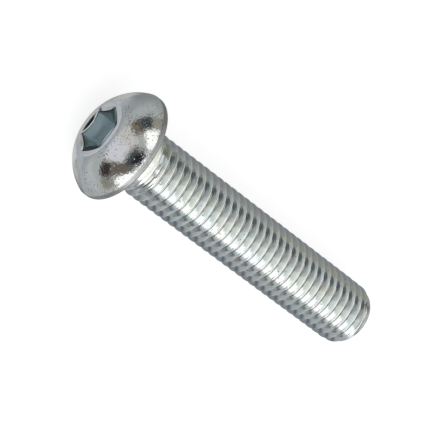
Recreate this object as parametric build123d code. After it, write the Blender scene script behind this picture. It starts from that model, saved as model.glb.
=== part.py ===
from build123d import *
import os
from math import atan, ceil, cos, degrees, pi, radians, sin, sqrt, tan

# Button head socket screw, M12 x 1.75 x 60, threaded up to the head, zinc plated steel.
# It is one cold formed piece. It is built standing on its point, with its axis on Z,
# and then laid down as a loose screw comes to rest on a table: on the edge of its head
# and on the last full crest of its thread. All sizes are in millimetres and degrees.

# Driving dimensions: the shank and its thread
nominal_length = 60.0        # bearing face under the head to the end of the point
thread_diameter = 11.8       # over the crests, so an M12 thread with its clearance
thread_pitch = 1.75
thread_angle = 60.0          # between the two flanks of the groove
crest_width = 0.35
groove_phase = -0.42         # where the groove crosses the +X side, in pitches above the end
neck_diameter = 11.6         # plain part between the head and the thread
neck_length = 3.4            # bearing face to the first trace of the thread
neck_fillet = 0.6            # in the corner under the head
runout_length = 2.6          # over which the groove grows shallow towards the neck

# Driving dimensions: the point
point_diameter = 9.2
point_length = 2.6

# Driving dimensions: the head
head_diameter = 20.5
head_height = 6.24
head_band = 0.7              # upright band round the head, between the dome and the edge
head_edge_break = 0.25       # bevel between that band and the bearing face
crown_diameter = 11.0        # flat ring round the mouth of the socket

# Driving dimensions: the socket
socket_width = 8.0           # across the flats
socket_depth = 4.3           # full depth of the flats
socket_floor = 0.6           # height of the shallow cone that the forming punch leaves
mouth_diameter = 9.4         # of the countersink that breaks the edges of the flats
mouth_angle = 120.0
socket_turn = 30.0           # of the corners, from the upper side of the lying screw

# Derived sizes
crest_radius = thread_diameter / 2
neck_radius = neck_diameter / 2
point_radius = point_diameter / 2
head_radius = head_diameter / 2
mouth_radius = mouth_diameter / 2
flank_rise = (thread_pitch - crest_width) / 2
groove_depth = flank_rise / tan(radians(thread_angle / 2))
root_radius = crest_radius - groove_depth
head_top = nominal_length + head_height
thread_end = nominal_length - neck_length

# The threaded shank is a solid of flat facets strung along the helix. Its depth, pitch and
# flank angle are the real ones, and the chords stay within 0.06 of the round form.
facets_per_turn = 22
hidden_overlap = 0.2         # by which joined forms run into each other, out of sight
groove_start = (groove_phase - 1) * thread_pitch
facet_rise = thread_pitch / facets_per_turn
last_facet = ceil((thread_end + thread_pitch - groove_start) / facet_rise)


def corner_at(sketch, x, y):
    """The corner of a sketch that lies nearest to a point."""
    return sketch.vertices().sort_by_distance((x, y)).first


def facet(*corners):
    """A flat face between three or more points."""
    return Face(Wire.make_polygon(corners, close=True))


def profile_at(step):
    """Root, lower crest and upper crest of the thread, a number of facets along the helix."""
    angle = 2 * pi * step / facets_per_turn
    outward = Vector(cos(angle), sin(angle), 0)
    root_height = groove_start + step * facet_rise
    crest_height = root_height + flank_rise
    into_neck = min(max(0, (crest_height - thread_end) / thread_pitch + 1), 1)
    ridge_radius = crest_radius - into_neck * (crest_radius - neck_radius + hidden_overlap)
    return (
        outward * root_radius + Vector(0, 0, root_height),
        outward * ridge_radius + Vector(0, 0, crest_height),
        outward * ridge_radius + Vector(0, 0, crest_height + crest_width),
    )


def threaded_shank():
    """Core and ridge of the thread in one solid, from below the point up into the neck."""
    turn = facets_per_turn
    root, low, high = zip(*[profile_at(step) for step in range(last_facet + 1)])
    below = Vector(0, 0, groove_start - thread_pitch)
    above = Vector(0, 0, high[-1].Z + hidden_overlap)
    faces = []
    for this in range(last_facet):
        following = this + 1
        faces.append(facet(root[this], root[following], low[following]))
        faces.append(facet(root[this], low[following], low[this]))
        faces.append(facet(low[this], low[following], high[following], high[this]))
    for this in range(last_facet - turn):
        following = this + 1
        faces.append(facet(high[this], high[following], root[following + turn]))
        faces.append(facet(high[this], root[following + turn], root[this + turn]))
    for this in range(turn):
        last = last_facet - this
        faces.append(facet(below, root[this], root[this + 1]))
        faces.append(facet(above, high[last - 1], high[last]))
    faces.append(facet(below, root[0], low[0], high[0], root[turn]))
    faces.append(facet(above, high[-1 - turn], root[-1], low[-1], high[-1]))
    return Solid(Shell(faces))


def point_cone():
    """The room of the shank: the flat end and the cone of the point, carried on upwards."""
    slope = (crest_radius - point_radius) / point_length
    top_radius = point_radius + slope * nominal_length
    upwards = (Align.CENTER, Align.CENTER, Align.MIN)
    return Cone(point_radius, top_radius, nominal_length, align=upwards)


def dome_middle(band_top, crown):
    """The middle of the arc through two points of the half section, centred on the axis."""
    (outer, low), (inner, high) = band_top, crown
    centre_height = (low + high) / 2 - (outer**2 - inner**2) / (high - low) / 2
    radius = sqrt(outer**2 + (low - centre_height) ** 2)
    middle = (Vector(outer, low - centre_height) + Vector(inner, high - centre_height)) / 2
    return Vector(0, centre_height) + middle.normalized() * radius


def neck_and_head():
    """The run-out cone that fills the groove, the plain neck and the domed head, turned."""
    core = root_radius - hidden_overlap
    runout_start = thread_end - runout_length
    crown = (crown_diameter / 2, head_top)
    band_top = (head_radius, nominal_length + head_edge_break + head_band)
    with BuildSketch() as half_section:
        with BuildLine():
            Polyline(
                (0, runout_start),
                (core, runout_start),
                (neck_radius, thread_end),
                (neck_radius, nominal_length),
                (head_radius, nominal_length),
                band_top,
            )
            ThreePointArc(band_top, dome_middle(band_top, crown), crown)
            Polyline(crown, (0, head_top), (0, runout_start))
        make_face()
        fillet(corner_at(half_section, neck_radius, nominal_length), neck_fillet)
        chamfer(corner_at(half_section, head_radius, nominal_length), head_edge_break)
    return revolve(Plane.XZ * half_section.sketch, Axis.Z)


def hex_socket():
    """The room of the hexagon key: flats, the cone at the bottom and the countersunk mouth."""
    flats_end = head_top - socket_depth
    corner_radius = socket_width / 2 / cos(pi / 6)
    mouth_depth = mouth_radius / tan(radians(mouth_angle / 2))
    corners = RegularPolygon(socket_width / 2, 6, major_radius=False, rotation=socket_turn)
    hexagon = Plane.XY.offset(flats_end) * corners
    flats = extrude(hexagon, socket_depth)
    top_down = (Align.CENTER, Align.CENTER, Align.MAX)
    punch_cone = Pos(0, 0, flats_end) * Cone(0, corner_radius, socket_floor, align=top_down)
    countersink = Pos(0, 0, head_top) * Cone(0, mouth_radius, mouth_depth, align=top_down)
    return flats + (punch_cone & extrude(hexagon, -socket_floor)) + countersink


def laid_down(screw):
    """The screw lying with its head to -X, resting on the head's edge and the thread."""
    run = nominal_length + head_edge_break - point_length
    rest_angle = degrees(atan((head_radius - crest_radius) / run))
    lying = Rot(0, rest_angle - 90, 0) * screw
    box = lying.bounding_box()
    return Pos(-box.center().X, 0, -box.min.Z) * lying


shank = threaded_shank() & point_cone()
socket_screw = laid_down(shank + neck_and_head() - hex_socket())
socket_screw.label = "socket_screw"

os.makedirs("parts", exist_ok=True)
export_step(socket_screw, "parts/socket_screw.step")
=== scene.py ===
# %% [markdown]
# # A button head socket screw
# The object is one loose machine screw: a low domed head with a hexagon socket, a short
# plain neck, and a right hand thread down to a chamfered point. It is cold formed from
# steel wire and plated with bright zinc. It lies on a table, resting on the edge of its
# head and on its thread. The CAD part says where it lies and how wide its head is. This
# lesson builds the same screw again in that place, with the fine forms and the finish
# that a solid model leaves out, and then lights it as a small studio would.

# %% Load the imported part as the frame
from math import atan, cos, degrees, pi, radians, sin, tan

import bmesh
import bpy
import numpy as np
from mathutils import Matrix, Vector


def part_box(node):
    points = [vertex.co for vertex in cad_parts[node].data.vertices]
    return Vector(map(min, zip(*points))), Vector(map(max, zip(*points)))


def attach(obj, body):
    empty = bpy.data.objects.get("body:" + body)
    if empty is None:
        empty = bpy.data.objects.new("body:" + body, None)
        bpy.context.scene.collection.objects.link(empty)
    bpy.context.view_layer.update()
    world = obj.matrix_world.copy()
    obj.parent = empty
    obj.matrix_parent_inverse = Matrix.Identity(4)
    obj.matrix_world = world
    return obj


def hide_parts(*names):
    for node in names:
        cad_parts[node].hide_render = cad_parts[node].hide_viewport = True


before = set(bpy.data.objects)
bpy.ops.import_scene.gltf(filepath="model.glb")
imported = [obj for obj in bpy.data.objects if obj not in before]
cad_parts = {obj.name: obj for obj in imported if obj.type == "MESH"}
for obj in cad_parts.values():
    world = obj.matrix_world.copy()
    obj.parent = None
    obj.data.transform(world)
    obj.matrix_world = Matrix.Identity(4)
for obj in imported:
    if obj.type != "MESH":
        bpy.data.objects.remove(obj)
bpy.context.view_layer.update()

NODE = "socket_screw"
MM = 0.001
low_corner, high_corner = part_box(NODE)
print("the screw's box in millimetres:",
      [round(side / MM, 2) for side in high_corner - low_corner])

# %% [markdown]
# ## The sizes of the screw
# A size M12 screw has a pitch of 1.75 mm and flanks at 60 degrees. The crests of a rolled
# thread are a narrow flat with soft edges, and its roots are rounded. The head is 20.5 mm
# across, which the box of the CAD part gives as its width. Lengths along the screw are
# measured from the end of its point. The values are in millimetres and are turned to
# metres where a mesh is made.

# %% Sizes of the threaded shank
pitch = 1.75
crest_radius = 5.9
root_radius = 4.83
crest_flat = 0.13
groove_phase = -0.42  # where the groove crosses the upper side, in pitches above the end
thread_end = 56.6
runout_length = 2.6
neck_radius = 5.8
neck_fillet = 0.6
join_height = 56.95  # where the shank's mesh ends and the head's begins
point_radius = 4.6  # of the flat end in the CAD part, by which the screw is placed
point_length = 2.6
print("thread", 2 * crest_radius, "mm across, one turn each", pitch, "mm")

# %% Sizes of the head and the socket
nominal_length = 60.0
head_radius = (high_corner.y - low_corner.y) / 2 / MM
head_height = 6.24
head_edge = 0.25
head_band = 0.7
crown_radius = 5.3
dome_radius = 9.2
crown_drop = 0.14  # the crown is a little lower than the full height of the head
socket_half = 4.0
socket_depth = 4.4
socket_floor = 0.6
socket_turn = radians(30)
head_top = nominal_length + head_height
print("head", 2 * round(head_radius, 3), "mm across,", head_height, "mm high")

# %% [markdown]
# ## How the screw lies
# Everything is first built standing on its point, because a turned part is simplest round
# its own axis. One matrix then lays it down. The angle follows from what it rests on: the
# edge of the head and the last full crest. How far along the table it lies comes from the
# box of the CAD part, whose far side is the upper edge of the point.

# %% The matrix that lays the screw down
run = nominal_length + head_edge - point_length
rest_angle = atan((head_radius - crest_radius) / run)
to_head = Vector((-cos(rest_angle), 0, sin(rest_angle)))
upward = Vector((sin(rest_angle), 0, cos(rest_angle)))
sideways = to_head.cross(upward)
head_foot = (nominal_length + head_edge) * to_head.z - head_radius * upward.z
point_end = Vector((high_corner.x / MM - point_radius * upward.x, 0, -head_foot)) * MM

screw_axes = Matrix((upward, sideways, to_head)).transposed()
lay_down = Matrix.Translation(point_end) @ screw_axes.to_4x4()
print("the screw's axis falls", round(degrees(rest_angle), 2), "degrees towards its point")

# %% [markdown]
# ## One function for nodes
# Node trees for geometry and for materials are built the same way. A node gets its
# settings by name and its inputs in order: a number, a colour, another node or one of its
# sockets. None leaves an input as it is. Trees could be drawn by hand in the node editor,
# but a script keeps each size in one place.

# %% Add a node
def add_node(tree, kind, *inputs, **settings):
    """Adds one node, applies its settings, and fills its input sockets in order."""
    made = tree.nodes.new(kind)
    for name, value in settings.items():
        setattr(made, name, value)
    enabled = [socket for socket in made.inputs if socket.enabled]
    for socket, value in zip(enabled, inputs):
        if value is None:
            continue
        if isinstance(value, bpy.types.Node):
            value = value.outputs[0]
        if isinstance(value, bpy.types.NodeSocket):
            tree.links.new(value, socket)
        else:
            socket.default_value = value
    return made


# %% [markdown]
# ## The threaded shank
# A rolled thread follows one rule: the radius at a point depends only on how far the point
# is from the nearest turn of the groove. So the shank is a flat grid that Geometry Nodes
# wrap round the axis. One direction of the grid is the angle, the other follows the
# helix, so that its rows run along the crests and keep them crisp. A Screw modifier could
# sweep one profile round too, but it can't fade the thread out. The rows stand closer
# together on crests and roots, where the form is round. Towards the neck the groove fills
# up along a cone and the ridge sinks into the plain neck. The point is a cone that swells
# a little, because the rolls press steel towards it, and its end has a rounded edge. Below
# that end the grid folds in to the middle of the flat end, which closes it.

# %% The tree and its inputs
thread_tree = bpy.data.node_groups.new("rolled thread", "GeometryNodeTree")
thread_inputs = {
    "Pitch": pitch * MM,
    "Crest radius": crest_radius * MM,
    "Root radius": root_radius * MM,
    "Crest flat": crest_flat * MM,
    "Neck radius": neck_radius * MM,
    "Thread end": thread_end * MM,
    "Run-out": runout_length * MM,
    "Join height": join_height * MM,
    "Point length": point_length * MM,
    "Groove phase": groove_phase,
    "Columns": 120,
    "Rows per turn": 16,
}
for title, value in thread_inputs.items():
    kind = "NodeSocketInt" if isinstance(value, int) else "NodeSocketFloat"
    thread_tree.interface.new_socket(title, in_out="INPUT", socket_type=kind)
thread_tree.interface.new_socket("Finish", in_out="INPUT", socket_type="NodeSocketMaterial")
thread_tree.interface.new_socket("Shank", in_out="OUTPUT", socket_type="NodeSocketGeometry")
given = add_node(thread_tree, "NodeGroupInput").outputs
print("the thread tree takes", len(thread_inputs), "sizes and a material")

# %% The grid, and where each of its points is along the thread
first_turn = -2.0
last_turn = 33.0
turns = last_turn - first_turn
row_density = 0.5  # how much closer than the mean the rows stand on crests and roots

row_count = add_node(thread_tree, "ShaderNodeMath", given["Rows per turn"], turns, 1.0,
                     operation="MULTIPLY_ADD")
column_count = add_node(thread_tree, "ShaderNodeMath", given["Columns"], 1.0, operation="ADD")
grid = add_node(thread_tree, "GeometryNodeMeshGrid", 1.0, 1.0, column_count, row_count)
place = add_node(thread_tree, "GeometryNodeInputPosition")
flat = add_node(thread_tree, "ShaderNodeSeparateXYZ", place)
round_share = add_node(thread_tree, "ShaderNodeMath", flat.outputs[0], 0.5, operation="ADD")
along_share = add_node(thread_tree, "ShaderNodeMath", flat.outputs[1], 0.5, operation="ADD")
angle = add_node(thread_tree, "ShaderNodeMath", round_share, 2 * pi, operation="MULTIPLY")
turn = add_node(thread_tree, "ShaderNodeMath", along_share, turns, first_turn,
                operation="MULTIPLY_ADD")
wave_angle = add_node(thread_tree, "ShaderNodeMath", turn, 4 * pi, operation="MULTIPLY")
wave = add_node(thread_tree, "ShaderNodeMath", wave_angle, operation="SINE")
groove_turn = add_node(thread_tree, "ShaderNodeMath", wave, -row_density / (4 * pi), turn,
                       operation="MULTIPLY_ADD")
phase = add_node(thread_tree, "ShaderNodeMath", round_share, given["Groove phase"],
                 operation="ADD")
height_in_turns = add_node(thread_tree, "ShaderNodeMath", groove_turn, phase, operation="ADD")
raw_height = add_node(thread_tree, "ShaderNodeMath", height_in_turns, given["Pitch"],
                      operation="MULTIPLY")
print("grid of", thread_inputs["Columns"], "by", int(turns * thread_inputs["Rows per turn"]))

# %% The profile: flanks at 60 degrees between a rounded root and a soft crest
flank_slope = 1 / tan(radians(30))
crest_softness = 0.045 * MM
root_softness = 0.34 * MM
ridge_sink = 0.12 * MM  # the ridge ends this far below the skin of the neck

nearest = add_node(thread_tree, "ShaderNodeMath", groove_turn, operation="ROUND")
apart = add_node(thread_tree, "ShaderNodeMath", groove_turn, nearest, operation="SUBTRACT")
apart_size = add_node(thread_tree, "ShaderNodeMath", apart, operation="ABSOLUTE")
from_groove = add_node(thread_tree, "ShaderNodeMath", apart_size, given["Pitch"],
                       operation="MULTIPLY")
full_flank = add_node(thread_tree, "ShaderNodeMath", given["Pitch"], given["Crest flat"],
                      operation="SUBTRACT")
half_flank = add_node(thread_tree, "ShaderNodeMath", full_flank, -0.5, from_groove,
                      operation="MULTIPLY_ADD")
flank = add_node(thread_tree, "ShaderNodeMath", half_flank, flank_slope, given["Crest radius"],
                 operation="MULTIPLY_ADD")

sink_start = add_node(thread_tree, "ShaderNodeMath", given["Thread end"], given["Pitch"],
                      operation="SUBTRACT")
neck_step = add_node(thread_tree, "ShaderNodeMath", given["Neck radius"], ridge_sink,
                     operation="SUBTRACT")
ridge = add_node(thread_tree, "ShaderNodeMapRange", raw_height, sink_start, given["Thread end"],
                 given["Crest radius"], neck_step)
crested = add_node(thread_tree, "ShaderNodeMath", flank, ridge, crest_softness,
                   operation="SMOOTH_MIN")
rooted = add_node(thread_tree, "ShaderNodeMath", crested, given["Root radius"], root_softness,
                  operation="SMOOTH_MAX")
print("the flanks rise", round(flank_slope, 3), "mm for each mm along the screw")

# %% The run-out into the neck, and the point
end_radius = 4.75 * MM
end_round = 0.25 * MM
point_bulge = 0.27 * MM
runout_blend = 0.05 * MM
point_blend = 0.12 * MM

fill_start = add_node(thread_tree, "ShaderNodeMath", given["Thread end"], given["Run-out"],
                      operation="SUBTRACT")
fill = add_node(thread_tree, "ShaderNodeMapRange", raw_height, fill_start, given["Thread end"],
                given["Root radius"], given["Neck radius"])
filled = add_node(thread_tree, "ShaderNodeMath", rooted, fill, runout_blend,
                  operation="SMOOTH_MAX")
chamfer = add_node(thread_tree, "ShaderNodeMapRange", raw_height, 0.0, given["Point length"],
                   end_radius, given["Crest radius"], clamp=False)
up_point = add_node(thread_tree, "ShaderNodeMapRange", raw_height, 0.0, given["Point length"],
                    0.0, pi)
bulge = add_node(thread_tree, "ShaderNodeMath", up_point, operation="SINE")
swollen = add_node(thread_tree, "ShaderNodeMath", bulge, point_bulge, chamfer,
                   operation="MULTIPLY_ADD")
into_end = add_node(thread_tree, "ShaderNodeMapRange", raw_height, 0.0, end_round, 1.0, 0.0)
into_square = add_node(thread_tree, "ShaderNodeMath", into_end, into_end, operation="MULTIPLY")
rest_square = add_node(thread_tree, "ShaderNodeMath", 1.0, into_square, operation="SUBTRACT")
edge_arc = add_node(thread_tree, "ShaderNodeMath", rest_square, operation="SQRT")
edge_drop = add_node(thread_tree, "ShaderNodeMath", edge_arc, 1.0, operation="SUBTRACT")
rounded_end = add_node(thread_tree, "ShaderNodeMath", edge_drop, end_round, swollen,
                       operation="MULTIPLY_ADD")
pointed = add_node(thread_tree, "ShaderNodeMath", filled, rounded_end, point_blend,
                   operation="SMOOTH_MIN")
print("the end of the point is rounded by", end_round / MM, "mm")

# %% Close both ends and wrap the grid round the axis
weld_distance = 0.0005 * MM

over_join = add_node(thread_tree, "ShaderNodeMath", raw_height, given["Join height"],
                     operation="GREATER_THAN")
radius = add_node(thread_tree, "ShaderNodeMix", over_join, pointed, given["Neck radius"],
                  data_type="FLOAT")
below_end = add_node(thread_tree, "ShaderNodeMath", 0.0, given["Pitch"], operation="SUBTRACT")
closing = add_node(thread_tree, "ShaderNodeMapRange", raw_height, below_end, 0.0, 0.0, 1.0)
closed_radius = add_node(thread_tree, "ShaderNodeMath", radius, closing, operation="MULTIPLY")
above_end = add_node(thread_tree, "ShaderNodeMath", raw_height, 0.0, operation="MAXIMUM")
height = add_node(thread_tree, "ShaderNodeMath", above_end, given["Join height"],
                  operation="MINIMUM")
across = add_node(thread_tree, "ShaderNodeMath", angle, operation="COSINE")
sidewise = add_node(thread_tree, "ShaderNodeMath", angle, operation="SINE")
x = add_node(thread_tree, "ShaderNodeMath", across, closed_radius, operation="MULTIPLY")
y = add_node(thread_tree, "ShaderNodeMath", sidewise, closed_radius, operation="MULTIPLY")
wrapped_place = add_node(thread_tree, "ShaderNodeCombineXYZ", x, y, height)
wrapped = add_node(thread_tree, "GeometryNodeSetPosition", grid, None, wrapped_place)
welded = add_node(thread_tree, "GeometryNodeMergeByDistance", wrapped, None, weld_distance)
real = add_node(thread_tree, "GeometryNodeRealizeInstances", welded)
finished = add_node(thread_tree, "GeometryNodeSetMaterial", real, None, given["Finish"])
add_node(thread_tree, "NodeGroupOutput", finished)
print("the thread tree has", len(thread_tree.nodes), "nodes")

# %% [markdown]
# ## Grow the shank
# A modifier runs the tree on an empty mesh. Its inputs are filled by the identifiers of
# their sockets before the object is evaluated. The modifier could stay live, but the head
# is to be welded to the shank. So the evaluated result is copied to a plain mesh, and the
# helper object goes. The material is made here, empty, and gets its nodes further down.

# %% Run the tree and keep a plain mesh
zinc = bpy.data.materials.new("bright zinc plated steel")
seed_mesh = bpy.data.meshes.new("shank seed")
seed = bpy.data.objects.new("shank seed", seed_mesh)
bpy.context.collection.objects.link(seed)
grower = seed.modifiers.new("rolled thread", "NODES")
grower.node_group = thread_tree
for item in thread_tree.interface.items_tree:
    if item.in_out == "INPUT":
        grower[item.identifier] = zinc if item.name == "Finish" else thread_inputs[item.name]
evaluated = seed.evaluated_get(bpy.context.evaluated_depsgraph_get())
shank_mesh = bpy.data.meshes.new_from_object(evaluated)
bpy.data.objects.remove(seed)
print("the shank has", len(shank_mesh.polygons), "faces")

# %% [markdown]
# ## The head
# The head is a turned form as far as the mouth of the socket. A half section and a Screw
# modifier would do for the dome, and a boolean would cut the socket, but a boolean leaves
# ragged faces just where the light is brightest. So the whole head is a list of rings.
# Forging leaves no sharp edge: each corner of its half section gets a small radius, and
# that is where a bright line of light runs along an edge.

# %% A half section with rounded corners
def rounded(corners, steps=4):
    """Points of a half section: (radius, height, rounding) corners, with arcs in them."""
    path = [Vector(corners[0][:2])]
    for before, corner, after in zip(corners, corners[1:], corners[2:]):
        middle = Vector(corner[:2])
        back = (Vector(before[:2]) - middle).normalized()
        ahead = (Vector(after[:2]) - middle).normalized()
        opening = back.angle(ahead)
        if corner[2] == 0:
            path.append(middle)
            continue
        reach = corner[2] / tan(opening / 2)
        centre = middle + (back + ahead).normalized() * (corner[2] / sin(opening / 2))
        start = middle + back * reach - centre
        end = middle + ahead * reach - centre
        for step in range(steps + 1):
            path.append(centre + start.slerp(end, step / steps) * corner[2])
    path.append(Vector(corners[-1][:2]))
    return path


# %% The arc of the dome
def dome(low_end, high_end, size, steps):
    """Points of an arc of the given radius, bulging away from the screw's axis."""
    low_end, high_end = Vector(low_end), Vector(high_end)
    chord = high_end - low_end
    inwards = Vector((-chord.y, chord.x)).normalized()
    centre = (low_end + high_end) / 2 + inwards * (size**2 - (chord.length / 2)**2)**0.5
    first, last = low_end - centre, high_end - centre
    points = [centre + first.slerp(last, step / steps) * size for step in range(1, steps)]
    return [(point.x, point.y, 0) for point in points]


# %% The half section of neck, bearing face, rim, dome and crown
band_top = nominal_length + head_edge + head_band
crown_top = head_top - crown_drop
band_round = 0.22
crown_round = 0.3
mouth_ring = 5.05
dome_steps = 30

outline = rounded([
    # radius, height, rounding: the plain points between corners keep the faces short
    (neck_radius, join_height, 0),
    (neck_radius, 57.8, 0),
    (neck_radius, 58.7, 0),
    (neck_radius, nominal_length, neck_fillet),
    (7.6, nominal_length, 0),
    (8.9, nominal_length, 0),
    (head_radius, nominal_length, head_edge),
    (head_radius, nominal_length + 0.45, 0),
    (head_radius, nominal_length + 0.65, 0),
    (head_radius, band_top, band_round),
    *dome((head_radius, band_top), (crown_radius, crown_top), dome_radius, dome_steps),
    (crown_radius, crown_top, crown_round),
    (mouth_ring, crown_top, 0),
])
print("the half section of the head has", len(outline), "points")

# %% [markdown]
# ## The socket
# A punch presses the hexagon, and a countersink breaks the edge of its mouth so that the
# key finds its way in. Where the cone of the countersink meets the flats, its edge dips in
# the middle of each flat and rises to the corners, which gives the mouth its six arcs. A
# ring holds one radius and one height for each angle, so the same rings can turn from
# circles into hexagons: each of their points follows its own angle. The lip between cone
# and flat is rounded, the flats end at one height, and a shallow cone closes the bottom.

# %% The hexagon, and how far the mouth opens and dips at each angle
columns = thread_inputs["Columns"]
gap_at_corner, more_gap_at_flat = 0.06, 0.25
dip_at_corner, more_dip_at_flat = 0.12, 0.46
lip_round = 0.12

turn_angles = np.arange(columns) * 2 * pi / columns
from_flat = (turn_angles - socket_turn) % (pi / 3) - pi / 6
hexagon = socket_half / np.cos(from_flat)
corner_radius = socket_half / cos(pi / 6)
flats_end = head_top - socket_depth
off_corner = (corner_radius - hexagon) / (corner_radius - socket_half)
mouth_gap = gap_at_corner + more_gap_at_flat * off_corner
dip = dip_at_corner + more_dip_at_flat * off_corner
lip_height = crown_top - dip
lip_gap = mouth_gap * lip_round / dip
print("the mouth dips", round(dip.min(), 2), "to", round(dip.max(), 2), "mm below the crown")

# %% Rings of the outside, then of the socket, from its mouth to its bottom
part_way = 0.35  # of the way from a circle to the hexagon

rings = [(np.full(columns, r), np.full(columns, z)) for r, z in outline]
rings.append((hexagon * part_way + mouth_ring * (1 - part_way), np.full(columns, crown_top)))
rings.append((hexagon + mouth_gap, np.full(columns, crown_top)))
for share in (0.3, 0.7, 1.0):
    rings.append((hexagon + mouth_gap + (lip_gap - mouth_gap) * share,
                  crown_top - (dip - lip_round) * share))
for share in (0.2, 0.4, 0.6, 0.8, 1.0):
    rings.append((hexagon + lip_gap * (1 - share)**2,
                  lip_height + lip_round * (1 - share)**2 - lip_round * share**2))
wall_top = lip_height - lip_round
for share in (0.06, 0.2, 0.4, 0.6, 0.8, 0.94, 1.0):
    rings.append((hexagon, wall_top + (flats_end - wall_top) * share))
for share in (0.97, 0.85, 0.65, 0.45, 0.25, 0.1, 0.0):
    ring_radius = hexagon * share
    rings.append((ring_radius, flats_end - socket_floor * (1 - ring_radius / corner_radius)))
print("the head has", len(rings), "rings of", columns, "points")

# %% [markdown]
# ## One closed mesh
# The real screw is one piece of steel, so its mesh is one closed skin. The last row of the
# shank and the first ring of the head have the same points, and welding those joins the
# two. Keeping two objects would look the same from outside, but would leave a seam and two
# open ends. Edges where two faces meet at more than 34 degrees stay sharp in the shading,
# and all others are smooth.

# %% Rings joined by faces
def add_rings(mesh, ring_list):
    """Adds rings of points to a bmesh, joined by quads that face outwards."""
    previous = None
    for ring_radius, ring_height in ring_list:
        x_values = ring_radius * np.cos(turn_angles) * MM
        y_values = ring_radius * np.sin(turn_angles) * MM
        z_values = ring_height * MM
        row = [mesh.verts.new(place) for place in zip(x_values, y_values, z_values)]
        if previous:
            for here in range(columns):
                there = (here + 1) % columns
                mesh.faces.new((previous[here], previous[there], row[there], row[here]))
        previous = row


# %% Weld shank and head, and lay the screw down
seam_gap = 0.002 * MM
sliver_length = 0.0002 * MM

body = bmesh.new()
body.from_mesh(shank_mesh)
add_rings(body, rings)
bmesh.ops.remove_doubles(body, verts=body.verts, dist=seam_gap)
bmesh.ops.dissolve_degenerate(body, edges=body.edges, dist=sliver_length)
bmesh.ops.transform(body, matrix=lay_down, verts=body.verts)
for face in body.faces:
    face.smooth = True
open_edges = sum(1 for edge in body.edges if not edge.is_manifold)
volume = body.calc_volume(signed=True)
print("the closed skin:", open_edges, "open edges,", round(volume / MM**3),
      "cubic millimetres")

# %% The screw as an object
sharp_angle = radians(34)

screw_mesh = bpy.data.meshes.new("zinc_plated_screw")
body.to_mesh(screw_mesh)
body.free()
screw_mesh.set_sharp_from_angle(angle=sharp_angle)
screw_mesh.materials.clear()
screw_mesh.materials.append(zinc)
screw = bpy.data.objects.new("zinc_plated_screw", screw_mesh)
bpy.context.collection.objects.link(screw)
triangles = sum(len(polygon.vertices) - 2 for polygon in screw_mesh.polygons)
print("the screw has", triangles, "triangles")

# %% [markdown]
# ## The finish
# The screw is plated with bright zinc in a barrel, and passivated. The film is a mirror
# with a soft skin: it follows the skin of the steel below, which is smooth on the rolled
# thread and a little rough on the forged head. Such a finish could be painted on an
# unwrapped map. It is built from patterns in three dimensions instead, because they need
# no map, have no seams, and can be given in real millimetres. Colours are written as
# people see them on a screen, and one function turns them to linear light.

# %% Colours as linear values
def linear(hex_colour):
    """An sRGB colour such as "#C0FFEE" as linear values, with full cover."""
    parts = [int(hex_colour[i:i + 2], 16) / 255 for i in (1, 3, 5)]
    return [p / 12.92 if p <= 0.04045 else ((p + 0.055) / 1.055) ** 2.4 for p in parts] + [1.0]


print("a screen grey of #808080 is", round(linear("#808080")[0], 3), "in linear light")

# %% [markdown]
# ## Where on the screw a point lies
# Head, neck, thread and socket were each made with another tool, so each has its own skin.
# They are one mesh, and separate materials would leave a hard border between them. Two
# distances tell them apart for every point: how far it is along the screw's axis, and how
# far out from it. A mask is a ramp from 0 to 1 on one of the two, or a few such ramps put
# together. Each is shorter than a millimetre, but long enough that no hard border shows.

# %% Distances along the axis and out from it
zinc.use_nodes = True
skin = zinc.node_tree
skin.nodes.clear()
spot = add_node(skin, "ShaderNodeTexCoord").outputs["Object"]
from_point = add_node(skin, "ShaderNodeVectorMath", spot, point_end, operation="SUBTRACT")
along = add_node(skin, "ShaderNodeVectorMath", from_point, to_head,
                 operation="DOT_PRODUCT").outputs["Value"]
off_axis = add_node(skin, "ShaderNodeVectorMath", from_point, to_head,
                    operation="CROSS_PRODUCT")
out_from_axis = add_node(skin, "ShaderNodeVectorMath", off_axis,
                         operation="LENGTH").outputs["Value"]
print("the point is at", [round(value / MM, 2) for value in point_end], "mm")

# %% Masks for the head, its rim, the neck and the point
def ramp(distance, nothing_at, full_at):
    """A mask that rises from 0 to 1 between two distances, given in millimetres."""
    return add_node(skin, "ShaderNodeMapRange", distance, nothing_at * MM, full_at * MM,
                    0.0, 1.0)


on_head = ramp(along, nominal_length - 0.1, nominal_length + 0.1)
on_rim = ramp(out_from_axis, head_radius - 0.09, head_radius - 0.03)
past_thread = ramp(along, thread_end - 0.3, thread_end + 0.3)
on_neck = add_node(skin, "ShaderNodeMath", past_thread, on_head, operation="SUBTRACT")
on_point = ramp(along, 1.5, 0.7)
off_head = add_node(skin, "ShaderNodeMath", 1.0, on_head, operation="SUBTRACT")
print("the neck lies from", thread_end, "to", nominal_length, "mm above the point")

# %% Masks for the crests, the roots and the socket
on_crest = ramp(out_from_axis, crest_radius - 0.16, crest_radius - 0.04)
in_root = ramp(out_from_axis, root_radius + 0.18, root_radius + 0.04)
off_socket = ramp(out_from_axis, 4.6, 5.2)
forged_skin = add_node(skin, "ShaderNodeMath", on_head, off_socket, operation="MULTIPLY")
below_mouth = ramp(along, crown_top - 0.45, crown_top - 0.75)
near_axis = ramp(out_from_axis, 5.0, 4.7)
socket_room = add_node(skin, "ShaderNodeMath", below_mouth, near_axis, operation="MULTIPLY")
in_socket = add_node(skin, "ShaderNodeMath", socket_room, on_head, operation="MULTIPLY")
print("the groove is", round(crest_radius - root_radius, 2), "mm deep")

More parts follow.
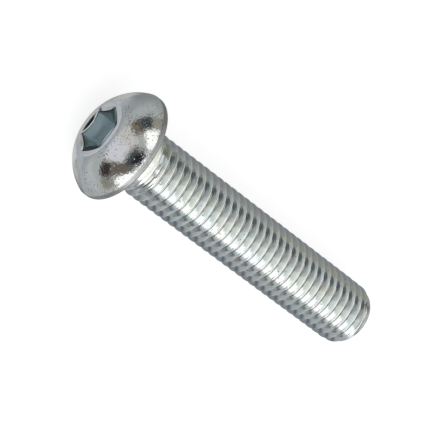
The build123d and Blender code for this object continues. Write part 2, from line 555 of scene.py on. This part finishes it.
# %% [markdown]
# ## The relief of the skin
# Each tool leaves its own trace in the steel, and the zinc follows it: long shallow waves
# and a grain on the forged head, turned lines on the neck, lines of the punch in the
# socket, and beads of zinc on the crests, where the current of the bath is strongest.
# Tumbling adds specks, dents and a few pits. None is deeper than a few hundredths of a
# millimetre, and a mesh for them would take millions of faces. So they are summed up as
# one height in millimetres, and a Bump node tilts the shading by it. The waves, lines and
# pits have about their real widths. Grain and specks are drawn some three times coarser
# than they are, because in a picture of the whole screw the real ones would melt away.

# %% Waves and grain of the forged head
wave_width = 1.6
wave_height = 0.016
grain_width = 0.50
grain_height = 0.022
rolled_waves = 0.10  # the shares of waves and grain that the rolled thread keeps
flank_share, top_share = 0.06, 0.35

wave_noise = add_node(skin, "ShaderNodeTexNoise", spot, 1 / (wave_width * MM), 1.0)
wave_share = add_node(skin, "ShaderNodeMapRange", forged_skin, 0.0, 1.0,
                      rolled_waves * wave_height, wave_height)
waves = add_node(skin, "ShaderNodeMath", wave_noise, wave_share, operation="MULTIPLY")
grain = add_node(skin, "ShaderNodeTexNoise", spot, 1 / (grain_width * MM), 1.5, 0.5)
crest_grain = add_node(skin, "ShaderNodeMapRange", on_crest, 0.0, 1.0,
                       flank_share * grain_height, top_share * grain_height)
head_grain = add_node(skin, "ShaderNodeMath", off_socket, grain_height, operation="MULTIPLY")
grain_share = add_node(skin, "ShaderNodeMix", on_head, crest_grain, head_grain,
                       data_type="FLOAT")
print("waves", wave_width, "mm wide, and a grain of", grain_width, "mm")

# %% Turned lines on the neck, and punch lines in the socket
line_width = 0.22
turned_height = 0.030
punched_height = 0.0035

turned_lines = add_node(skin, "ShaderNodeTexNoise", along, 1 / (line_width * MM), 2.0,
                        noise_dimensions="1D")
turned_share = add_node(skin, "ShaderNodeMath", on_neck, turned_height, operation="MULTIPLY")
with_turned = add_node(skin, "ShaderNodeMath", turned_lines, turned_share, waves,
                       operation="MULTIPLY_ADD")
with_grain = add_node(skin, "ShaderNodeMath", grain, grain_share, with_turned,
                      operation="MULTIPLY_ADD")
punched_lines = add_node(skin, "ShaderNodeTexNoise", off_axis, 1 / (line_width * MM), 1.0)
punched_share = add_node(skin, "ShaderNodeMath", in_socket, punched_height,
                         operation="MULTIPLY")
with_punched = add_node(skin, "ShaderNodeMath", punched_lines, punched_share, with_grain,
                        operation="MULTIPLY_ADD")
print("lines", line_width, "mm apart on the neck and in the socket")

# %% Specks and dents, more of them on the upper side of the head
speck_width = 0.30
speck_starts, speck_full = 0.55, 0.68  # values of the noise, which runs from 0 to 1
patch_width = 3.5
patch_starts, patch_full = 0.42, 0.62
sparsest, densest = 0.10, 0.85  # shares of specks outside and inside a patch
dent_depth = 0.016
least_worn = 0.35  # share of the wear at and below the height of the axis
fully_worn_height = 5.0  # above the axis
thread_specks = 0.12  # share of specks off the head

speck_noise = add_node(skin, "ShaderNodeTexNoise", spot, 1 / (speck_width * MM), 1.0)
speck = add_node(skin, "ShaderNodeMapRange", speck_noise, speck_starts, speck_full, 0.0, 1.0)
patch_noise = add_node(skin, "ShaderNodeTexNoise", spot, 1 / (patch_width * MM), 1.0)
patchy = add_node(skin, "ShaderNodeMapRange", patch_noise, patch_starts, patch_full,
                  sparsest, densest)
above_axis = add_node(skin, "ShaderNodeVectorMath", from_point, upward,
                      operation="DOT_PRODUCT").outputs["Value"]
worn_side = add_node(skin, "ShaderNodeMapRange", above_axis, 0.0, fully_worn_height * MM,
                     least_worn, 1.0)
worn_head = add_node(skin, "ShaderNodeMath", worn_side, forged_skin, operation="MULTIPLY")
speck_share = add_node(skin, "ShaderNodeMapRange", worn_head, 0.0, 1.0, thread_specks, 1.0)
speck_patch = add_node(skin, "ShaderNodeMath", speck, patchy, operation="MULTIPLY")
speckled = add_node(skin, "ShaderNodeMath", speck_patch, speck_share, operation="MULTIPLY")
dents = add_node(skin, "ShaderNodeMath", speckled, worn_head, operation="MULTIPLY")
with_dents = add_node(skin, "ShaderNodeMath", dents, -dent_depth, with_punched,
                      operation="MULTIPLY_ADD")
print("specks of", speck_width, "mm in patches of", patch_width, "mm")

# %% Beads of zinc on the crests
bead_width = 0.17
bead_height = 0.009
fine_height = 0.003  # added everywhere off the head

bead_noise = add_node(skin, "ShaderNodeTexNoise", spot, 1 / (bead_width * MM), 1.0)
beads = add_node(skin, "ShaderNodeMath", bead_noise, on_crest, operation="MULTIPLY")
bead_share = add_node(skin, "ShaderNodeMath", off_head, bead_height, operation="MULTIPLY")
with_beads = add_node(skin, "ShaderNodeMath", beads, bead_share, with_dents,
                      operation="MULTIPLY_ADD")
fine_share = add_node(skin, "ShaderNodeMath", off_head, fine_height, operation="MULTIPLY")
with_fine = add_node(skin, "ShaderNodeMath", bead_noise, fine_share, with_beads,
                     operation="MULTIPLY_ADD")
print("beads of", bead_width, "mm, up to", bead_height, "mm high")

# %% Pits, and the whole relief
pit_spacing = 0.75
pit_depth = 0.050
largest_pit = 0.22  # as a share of the spacing
without_pit = 0.35  # share of the cells that have none

cells = add_node(skin, "ShaderNodeTexVoronoi", spot, 1 / (pit_spacing * MM))
pit_size = add_node(skin, "ShaderNodeSeparateColor", cells.outputs["Color"])
pit_edge = add_node(skin, "ShaderNodeMapRange", pit_size, without_pit, 1.0, 0.0, largest_pit)
pit = add_node(skin, "ShaderNodeMapRange", cells.outputs["Distance"], pit_edge, 0.0, 0.0, 1.0,
               interpolation_type="SMOOTHSTEP")
with_pits = add_node(skin, "ShaderNodeMath", pit, -pit_depth, with_fine,
                     operation="MULTIPLY_ADD")
relief = add_node(skin, "ShaderNodeBump", 1.0, MM, None, with_pits)
print("pits about", pit_spacing, "mm apart and", pit_depth, "mm deep")

# %% [markdown]
# ## The colour of the film
# Zinc is a cool grey mirror. The clear film over it is a fraction of a micrometre thick,
# and it blooms a little towards straw or violet where it is thicker. The socket is painted
# darker and bluer towards its bottom, as painted shade for the recess: light is reflected
# there three or four times before it leaves, so a slight tint there shows strongly. Dirt
# stays in pits. The groove is painted darker towards its roots, as painted shade, and the
# roots take dirt and painted shade. Handling polishes the crests. The shader's thin film
# could work the bloom out from a thickness, but it would show a rainbow on a metal as
# bright as this. So a few quiet colours are laid over one another, from the widest to the
# smallest.

# %% A function for laying one colour over another
def lay_over(below, share, colour):
    """Lays a colour over the one below it, to the share that a mask gives."""
    return add_node(skin, "ShaderNodeMix", share, below, colour,
                    data_type="RGBA").outputs["Result"]


# %% The bloom of the film
bloom_width = 3.2
bloom_starts, bloom_full = 0.38, 0.66  # values of the noise
warmth = 0.15

bloom_noise = add_node(skin, "ShaderNodeTexNoise", spot, 1 / (bloom_width * MM), 2.0)
bloom_share = add_node(skin, "ShaderNodeMapRange", bloom_noise, bloom_starts, bloom_full,
                       0.0, 1.0)
bloom = lay_over(linear("#D5D9DA"), bloom_share, linear("#DBDBD7"))
warm_share = add_node(skin, "ShaderNodeMath", on_head, warmth, operation="MULTIPLY")
warm_head = lay_over(bloom, warm_share, linear("#E6DCD2"))
print("the film's bloom changes over", bloom_width, "mm")

# %% Painted shade in the socket, darker with depth, and the streaked rim
streak_width = 0.16

# painted shade: the socket's colour darkens and turns bluer towards its bottom
socket_shade_share = ramp(along, crown_top - 0.4, crown_top - 3.2)
socket_painted_shade = lay_over(linear("#F6F6F5"), socket_shade_share, linear("#C4CFD1"))
with_socket_shade = lay_over(warm_head, in_socket, socket_painted_shade)
streaks = add_node(skin, "ShaderNodeTexNoise", along, 1 / (streak_width * MM), 2.0,
                   noise_dimensions="1D")
rim_film = lay_over(linear("#4E4E4E"), streaks, linear("#D0D1D0"))
with_rim = lay_over(with_socket_shade, on_rim, rim_film)
print("streaks", streak_width, "mm wide round the rim")

# %% Dirt in the pits and specks
dirt_in_pits = 0.8

pit_dirt = add_node(skin, "ShaderNodeMath", pit, dirt_in_pits, operation="MULTIPLY")
with_dirt = lay_over(with_rim, pit_dirt, linear("#4A3C30"))
with_specks = lay_over(with_dirt, speckled, linear("#55524E"))
print("dirt fills", dirt_in_pits, "of each pit")

# %% Painted shade on the flanks, darker towards the roots, and dirt and painted shade in the roots
groove_shade = 0.20
root_shade_and_dirt = 0.5

# painted shade: the groove's colour darkens from near the crest towards the root
groove_shade_ramp = add_node(skin, "ShaderNodeMapRange", out_from_axis, (crest_radius - 0.10) * MM,
                       (root_radius + 0.10) * MM, 0.0, groove_shade)
groove_shade_share = add_node(skin, "ShaderNodeMath", groove_shade_ramp, off_head, operation="MULTIPLY")
shaded_groove = lay_over(with_specks, groove_shade_share, linear("#7E7E80"))
# the roots take dirt and painted shade together
root_shade_and_dirt_off_head = add_node(skin, "ShaderNodeMath", off_head, root_shade_and_dirt, operation="MULTIPLY")
root_shade_and_dirt_share = add_node(skin, "ShaderNodeMath", in_root, root_shade_and_dirt_off_head, operation="MULTIPLY")
with_root_shade_and_dirt = lay_over(shaded_groove, root_shade_and_dirt_share, linear("#6A6660"))
print("the groove dulls by", groove_shade, "and its root takes", root_shade_and_dirt, "of dirt")

# %% Polished crests and point
crest_polish = 0.5
point_polish = 0.7

crest_share = add_node(skin, "ShaderNodeMath", on_crest, off_head, operation="MULTIPLY")
crest_part = add_node(skin, "ShaderNodeMath", crest_share, crest_polish,
                      operation="MULTIPLY")
point_part = add_node(skin, "ShaderNodeMath", on_point, point_polish, operation="MULTIPLY")
polished = add_node(skin, "ShaderNodeMath", crest_part, point_part, operation="MAXIMUM")
with_polish = lay_over(with_root_shade_and_dirt, polished, linear("#F5F6F5"))
print("crests polished by", crest_polish, "and the point by", point_polish)

# %% A nick at one corner of the socket
nick_place = lay_down @ (Vector((-3.64, 2.84, crown_top - 0.1)) * MM)
to_nick = add_node(skin, "ShaderNodeVectorMath", spot, nick_place, operation="DISTANCE")
nick_share = ramp(to_nick.outputs["Value"], 0.50, 0.22)
nicked = lay_over(with_polish, nick_share, linear("#6E6A58"))
print("the nick is at", [round(value / MM, 1) for value in nick_place], "mm")

# %% [markdown]
# ## The zinc itself
# The Principled shader at full metallic takes its mirror colour from the base colour.
# A low roughness keeps the reflected softboxes crisp on the rolled thread, as the eye
# expects of bright zinc. The head is a little softer, and the rim and the point, which
# rub against other screws in the barrel, are softer still. A Glossy shader would give the
# same mirror, but the Principled one is what other programs read from an export.

# %% Bright zinc plated steel
thread_roughness = 0.10
head_roughness = 0.13
point_roughness = 0.30
added_on_rim = 0.22

point_softness = add_node(skin, "ShaderNodeMapRange", on_point, 0.0, 1.0, thread_roughness,
                          point_roughness)
softness = add_node(skin, "ShaderNodeMix", on_head, point_softness, head_roughness,
                    data_type="FLOAT")
rim_softness = add_node(skin, "ShaderNodeMath", on_rim, added_on_rim, softness,
                        operation="MULTIPLY_ADD")
surface = add_node(skin, "ShaderNodeBsdfPrincipled")
surface.inputs["Metallic"].default_value = 1.0
skin.links.new(nicked, surface.inputs["Base Color"])
skin.links.new(rim_softness.outputs[0], surface.inputs["Roughness"])
skin.links.new(relief.outputs[0], surface.inputs["Normal"])
add_node(skin, "ShaderNodeOutputMaterial", surface)
print("the finish has", len(skin.nodes), "nodes")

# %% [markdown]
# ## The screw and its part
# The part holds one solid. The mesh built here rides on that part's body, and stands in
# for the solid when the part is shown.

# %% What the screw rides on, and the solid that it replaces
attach(screw, "root")
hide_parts(NODE)
print("the screw replaces", NODE)

# %% [markdown]
# ## A patch with soft edges
# A mirror shows what stands round it, so its surroundings matter as much as its finish.
# Here they are drawn rather than built: rectangles of one colour with soft edges, laid
# over one another. The same function draws the cards on the table, measured in metres,
# and the softboxes of the studio, measured as angles. Angles run full circle, so on the
# sky the distance from a patch is wrapped round at the back.

# %% A patch with soft edges
def add_patch(tree, below, across, up, sides, soft, colour, full_circle=False):
    """Mixes a colour over the one below it, between four sides with soft edges."""
    shares = []
    for value, (low, high) in ((across, sides[:2]), (up, sides[2:])):
        off_centre = add_node(tree, "ShaderNodeMath", value, (low + high) / 2,
                              operation="SUBTRACT")
        if full_circle and value is across:
            off_centre = add_node(tree, "ShaderNodeMath", off_centre, pi, -pi,
                                  operation="WRAP")
        apart = add_node(tree, "ShaderNodeMath", off_centre, operation="ABSOLUTE")
        half = (high - low) / 2
        shares.append(add_node(tree, "ShaderNodeMapRange", apart, half + soft / 2,
                               half - soft / 2, 0.0, 1.0, interpolation_type="SMOOTHSTEP"))
    inside = add_node(tree, "ShaderNodeMath", *shares, operation="MULTIPLY")
    return add_node(tree, "ShaderNodeMix", inside, below, colour,
                    data_type="RGBA").outputs["Result"]


# %% [markdown]
# ## The table
# The screw lies on white paper, lit so strongly from above and below that only a faint
# shadow is left. Glass over a light box would do the same and cost a second layer of
# light. A sheet that glows by itself is simpler. What the screw reflects is another matter:
# in a studio, grey and white cards lie on the table just outside the picture, to shape the
# lower side of a bright part. Some of these cards are painted light and shade: a dark strip
# beside the shank is a painted shadow of the shank, and pale cards before the head are
# painted light where the head shades the table. So the paper shows the cards only to
# reflections, and the eye sees a plain white sheet.

# %% The sheet
half_floor = 0.6
floor_mesh = bpy.data.meshes.new("table")
floor_mesh.from_pydata([(-half_floor, -half_floor, 0), (half_floor, -half_floor, 0),
                        (half_floor, half_floor, 0), (-half_floor, half_floor, 0)],
                       [], [(0, 1, 2, 3)])
table = bpy.data.objects.new("table", floor_mesh)
bpy.context.collection.objects.link(table)
print("the sheet is", 2 * half_floor, "m wide")

# %% Where each card lies on the table
beyond = 900  # past the sides of the sheet
table_cards_and_painted_light = [
    # x from, to, y from, to, soft edge, colour: all in millimetres, the widest card first
    (-beyond, beyond, -beyond, -16.8, 3, "#BDC1C5"),
    (-beyond, beyond, 21, beyond, 5, "#A9ADAF"),
    (-beyond, -30, 30, beyond, 10, "#BCC0C2"),
    (-24, beyond, 22, beyond, 6, "#ABA89B"),
    (-60, -34, -85, -15, 6, "#CACED2"),
    (-beyond, -37, -22, 22, 8, "#B2B5BC"),
    # pale cards before the head, down to the dark strip: painted light where the head shades
    # the table
    (-54, -36.5, -12, 12, 5, "#E2E4EE"),
    (-41, -34, -16, 16, 4, "#C6C9D2"),
    (-40, -35.5, -3, 12, 3, "#E2E4EC"),
    (-33, -28.5, -15, -10, 3, "#CDCDC9"),
    (-34.8, -28.5, -10, 13, 3, "#F0F0EE"),
    # a dark strip beside the shank: a painted shadow of the shank, seen only in reflections
    (-26, 60, -15.9, -12.9, 1.8, "#767E8A"),
]
print(len(table_cards_and_painted_light), "cards on the table")

# %% White paper: matt, it gives a soft even white without a highlight
glow_strength = 0.78

paper = bpy.data.materials.new("white paper")
paper.use_nodes = True
sheet = paper.node_tree
sheet.nodes.clear()
floor_spot = add_node(sheet, "ShaderNodeTexCoord").outputs["Object"]
floor_axes = add_node(sheet, "ShaderNodeSeparateXYZ", floor_spot)
card = linear("#A2A5AA")
for x_from, x_to, y_from, y_to, soft, colour in table_cards_and_painted_light:
    card = add_patch(sheet, card, floor_axes.outputs[0], floor_axes.outputs[1],
                     [side * MM for side in (x_from, x_to, y_from, y_to)], soft * MM,
                     linear(colour))
card_face = add_node(sheet, "ShaderNodeBsdfDiffuse", card)
white_face = add_node(sheet, "ShaderNodeBsdfDiffuse", linear("#9C9C9C"))
glow = add_node(sheet, "ShaderNodeEmission", linear("#FFFFFF"), glow_strength)
lit_face = add_node(sheet, "ShaderNodeAddShader", white_face, glow)
seen_first = add_node(sheet, "ShaderNodeLightPath").outputs["Is Camera Ray"]
both_faces = add_node(sheet, "ShaderNodeMixShader", seen_first, card_face, lit_face)
add_node(sheet, "ShaderNodeOutputMaterial", both_faces)
floor_mesh.materials.append(paper)
print("the paper has", len(sheet.nodes), "nodes")

# %% [markdown]
# ## The camera
# The screw is seen from above and from its head's side, as a buyer turns it to look into
# the socket. A long lens keeps head and point in proportion. The camera is placed from the
# screw's own axis and not from the table, because the slant of that axis in the picture is
# what the eye checks first: the screw's direction as the camera sees it is a fall away
# from the lens and a roll in the picture, and the middle of the face under the head is
# held at a set place. The other way, an eye and a target set by hand, needs many trials.

# %% The directions of the camera's axes
view_tilt = 0.988  # radians between the way the camera looks and the screw's axis
view_roll = 0.645  # radians by which the axis falls to the right in the picture

fall = Vector((sin(view_tilt) * cos(view_roll), sin(view_tilt) * sin(view_roll),
               cos(view_tilt)))
near = -(Vector((0, 0, 1)) - fall * fall.z).normalized()
camera_axes = Matrix((fall, near, fall.cross(near))).transposed()
world_axes = Matrix((-to_head, upward, (-to_head).cross(upward))).transposed()
turn_to_world = world_axes @ camera_axes.transposed()
right, down, forward = turn_to_world.transposed()
print("the camera looks along", [round(value, 3) for value in forward])

# %% The camera
sensor_width = 36.0
lens = 177.2
face_distance = 371.62  # from the lens to the face under the head, in millimetres
face_across, face_down = -16.86, -12.84  # of that face, from the middle of the picture

bearing_face = lay_down @ Vector((0, 0, nominal_length * MM))
eye = bearing_face - turn_to_world @ Vector((face_across, face_down, face_distance)) * MM
camera_data = bpy.data.cameras.new("camera")
camera_data.lens = lens
camera_data.sensor_width = sensor_width
camera_data.clip_start = 0.01
camera_data.clip_end = 10
camera = bpy.data.objects.new("camera", camera_data)
camera_turn = Matrix((right, -down, -forward)).transposed().to_4x4()
camera.matrix_world = Matrix.Translation(eye) @ camera_turn
bpy.context.collection.objects.link(camera)
bpy.context.scene.camera = camera
print("the eye is at", [round(value, 3) for value in eye], "m")

# %% [markdown]
# ## The light
# A plated part is a mirror with a soft skin: what the eye reads as its form is the studio
# that it reflects. So the studio is drawn as one for small parts is built: a large softbox
# on each side, white card overhead, and dark cards low down between them, which put the
# dark bands beside the bright ones. Area lamps and planes could stand there too, but a
# plated part reflects each of them, and they would stand in the way of the camera. The
# world's background holds them all instead, as patches with soft edges at a given azimuth
# and elevation in degrees. Azimuth 0 is the direction in which the screw's point faces. A
# strength above 1 is a softbox, or a card that is strongly lit. The lens and the dark card
# round it show on the upper side of the head.

# %% Where each softbox and card stands
studio_cards = [
    # azimuth from, to, elevation from, to, soft edge, colour, strength
    ("overhead card",   -180, 180, 68, 95, 12, "#FFFFFF", 1.00),
    ("top softbox",     -180, 180, 80, 95, 6, "#FFFFFF", 2.20),
    ("far card",         -62, 34, 42, 80, 14, "#F2F8F4", 1.56),
    ("far low card",     -32, 40, -20, 34, 14, "#FFF8EE", 1.35),
    ("far card's side",   30, 54, 10, 76, 12, "#E8ECE6", 1.25),
    ("far card's end",    52, 72, 6, 70, 10, "#CCD4D4", 1.10),
    ("key's far side",  -122, -88, 25, 70, 10, "#FCFFFF", 1.50),
    ("key softbox",      -94, -42, 23, 70, 12, "#FCFFFF", 2.60),
    ("tan low card",     -60, -36, -6, 26, 8, "#B4AA9C", 1.00),
    ("key's lower edge", -112, -62, 12, 22, 4, "#DCECF4", 1.25),
    ("dark under key",   -90, -62, -6, 11, 4, "#93A1AA", 1.00),
    ("pale card",       -101, -89, -6, 22, 5, "#C4CACC", 1.00),
    ("fill softbox",      97, 130, 26, 60, 9, "#FCFFFF", 1.50),
    ("black card",        73, 97, -6, 40, 13, "#727F85", 1.00),
    ("brown grey card",  128, 151, -6, 28, 6, "#766C5E", 1.00),
    ("pale green card",  132, 150, 34, 62, 8, "#BCC0BA", 1.00),
    ("black card low",   107, 135, -6, 24, 4, "#42484F", 1.00),
    ("green grey card",   92, 112, -6, 23, 4, "#A2A096", 1.00),
    ("warm dark card",  -151, -121, 20, 64, 8, "#706A62", 1.00),
    ("brown card",      -148, -122, -6, 20, 5, "#3E3632", 1.00),
    ("tan card",        -120, -99, -6, 23, 4, "#94948A", 1.00),
    ("warm pale card",   150, 176, -6, 44, 6, "#DCDAD8", 1.00),
    ("lavender card",    174, 208, -6, 38, 6, "#E2E4EE", 1.05),
    ("card round lens",  158, 212, 44, 74, 9, "#434C52", 1.00),
    ("the lens",         140, 212, 58, 76, 6, "#141A20", 1.00),
]
print(len(studio_cards), "softboxes and cards")

# %% The studio as a world
world = bpy.data.worlds.new("studio")
world.use_nodes = True
bpy.context.scene.world = world
studio = world.node_tree
studio.nodes.clear()
direction = add_node(studio, "ShaderNodeTexCoord").outputs["Generated"]
axes = add_node(studio, "ShaderNodeSeparateXYZ", direction)
azimuth = add_node(studio, "ShaderNodeMath", axes.outputs[1], axes.outputs[0],
                   operation="ARCTAN2")
elevation = add_node(studio, "ShaderNodeMath", axes.outputs[2], operation="ARCSINE")
room = linear("#C2C4C6")
for title, az_from, az_to, el_from, el_to, soft, colour, strength in studio_cards:
    shade = [channel * strength for channel in linear(colour)[:3]] + [1.0]
    room = add_patch(studio, room, azimuth, elevation,
                     [radians(side) for side in (az_from, az_to, el_from, el_to)],
                     radians(soft), shade, full_circle=True)
print("the last patch laid is", title)

# %% Light for the screw, and a plain backdrop for the picture
studio_light = add_node(studio, "ShaderNodeBackground", room, 1.0)
backdrop = add_node(studio, "ShaderNodeBackground", linear("#FFFFFF"), 1.0)
seen = add_node(studio, "ShaderNodeLightPath").outputs["Is Camera Ray"]
shown = add_node(studio, "ShaderNodeMixShader", seen, studio_light, backdrop)
add_node(studio, "ShaderNodeOutputWorld", shown)
bpy.context.scene.view_settings.view_transform = "Standard"
print("the studio has", len(studio.nodes), "nodes")
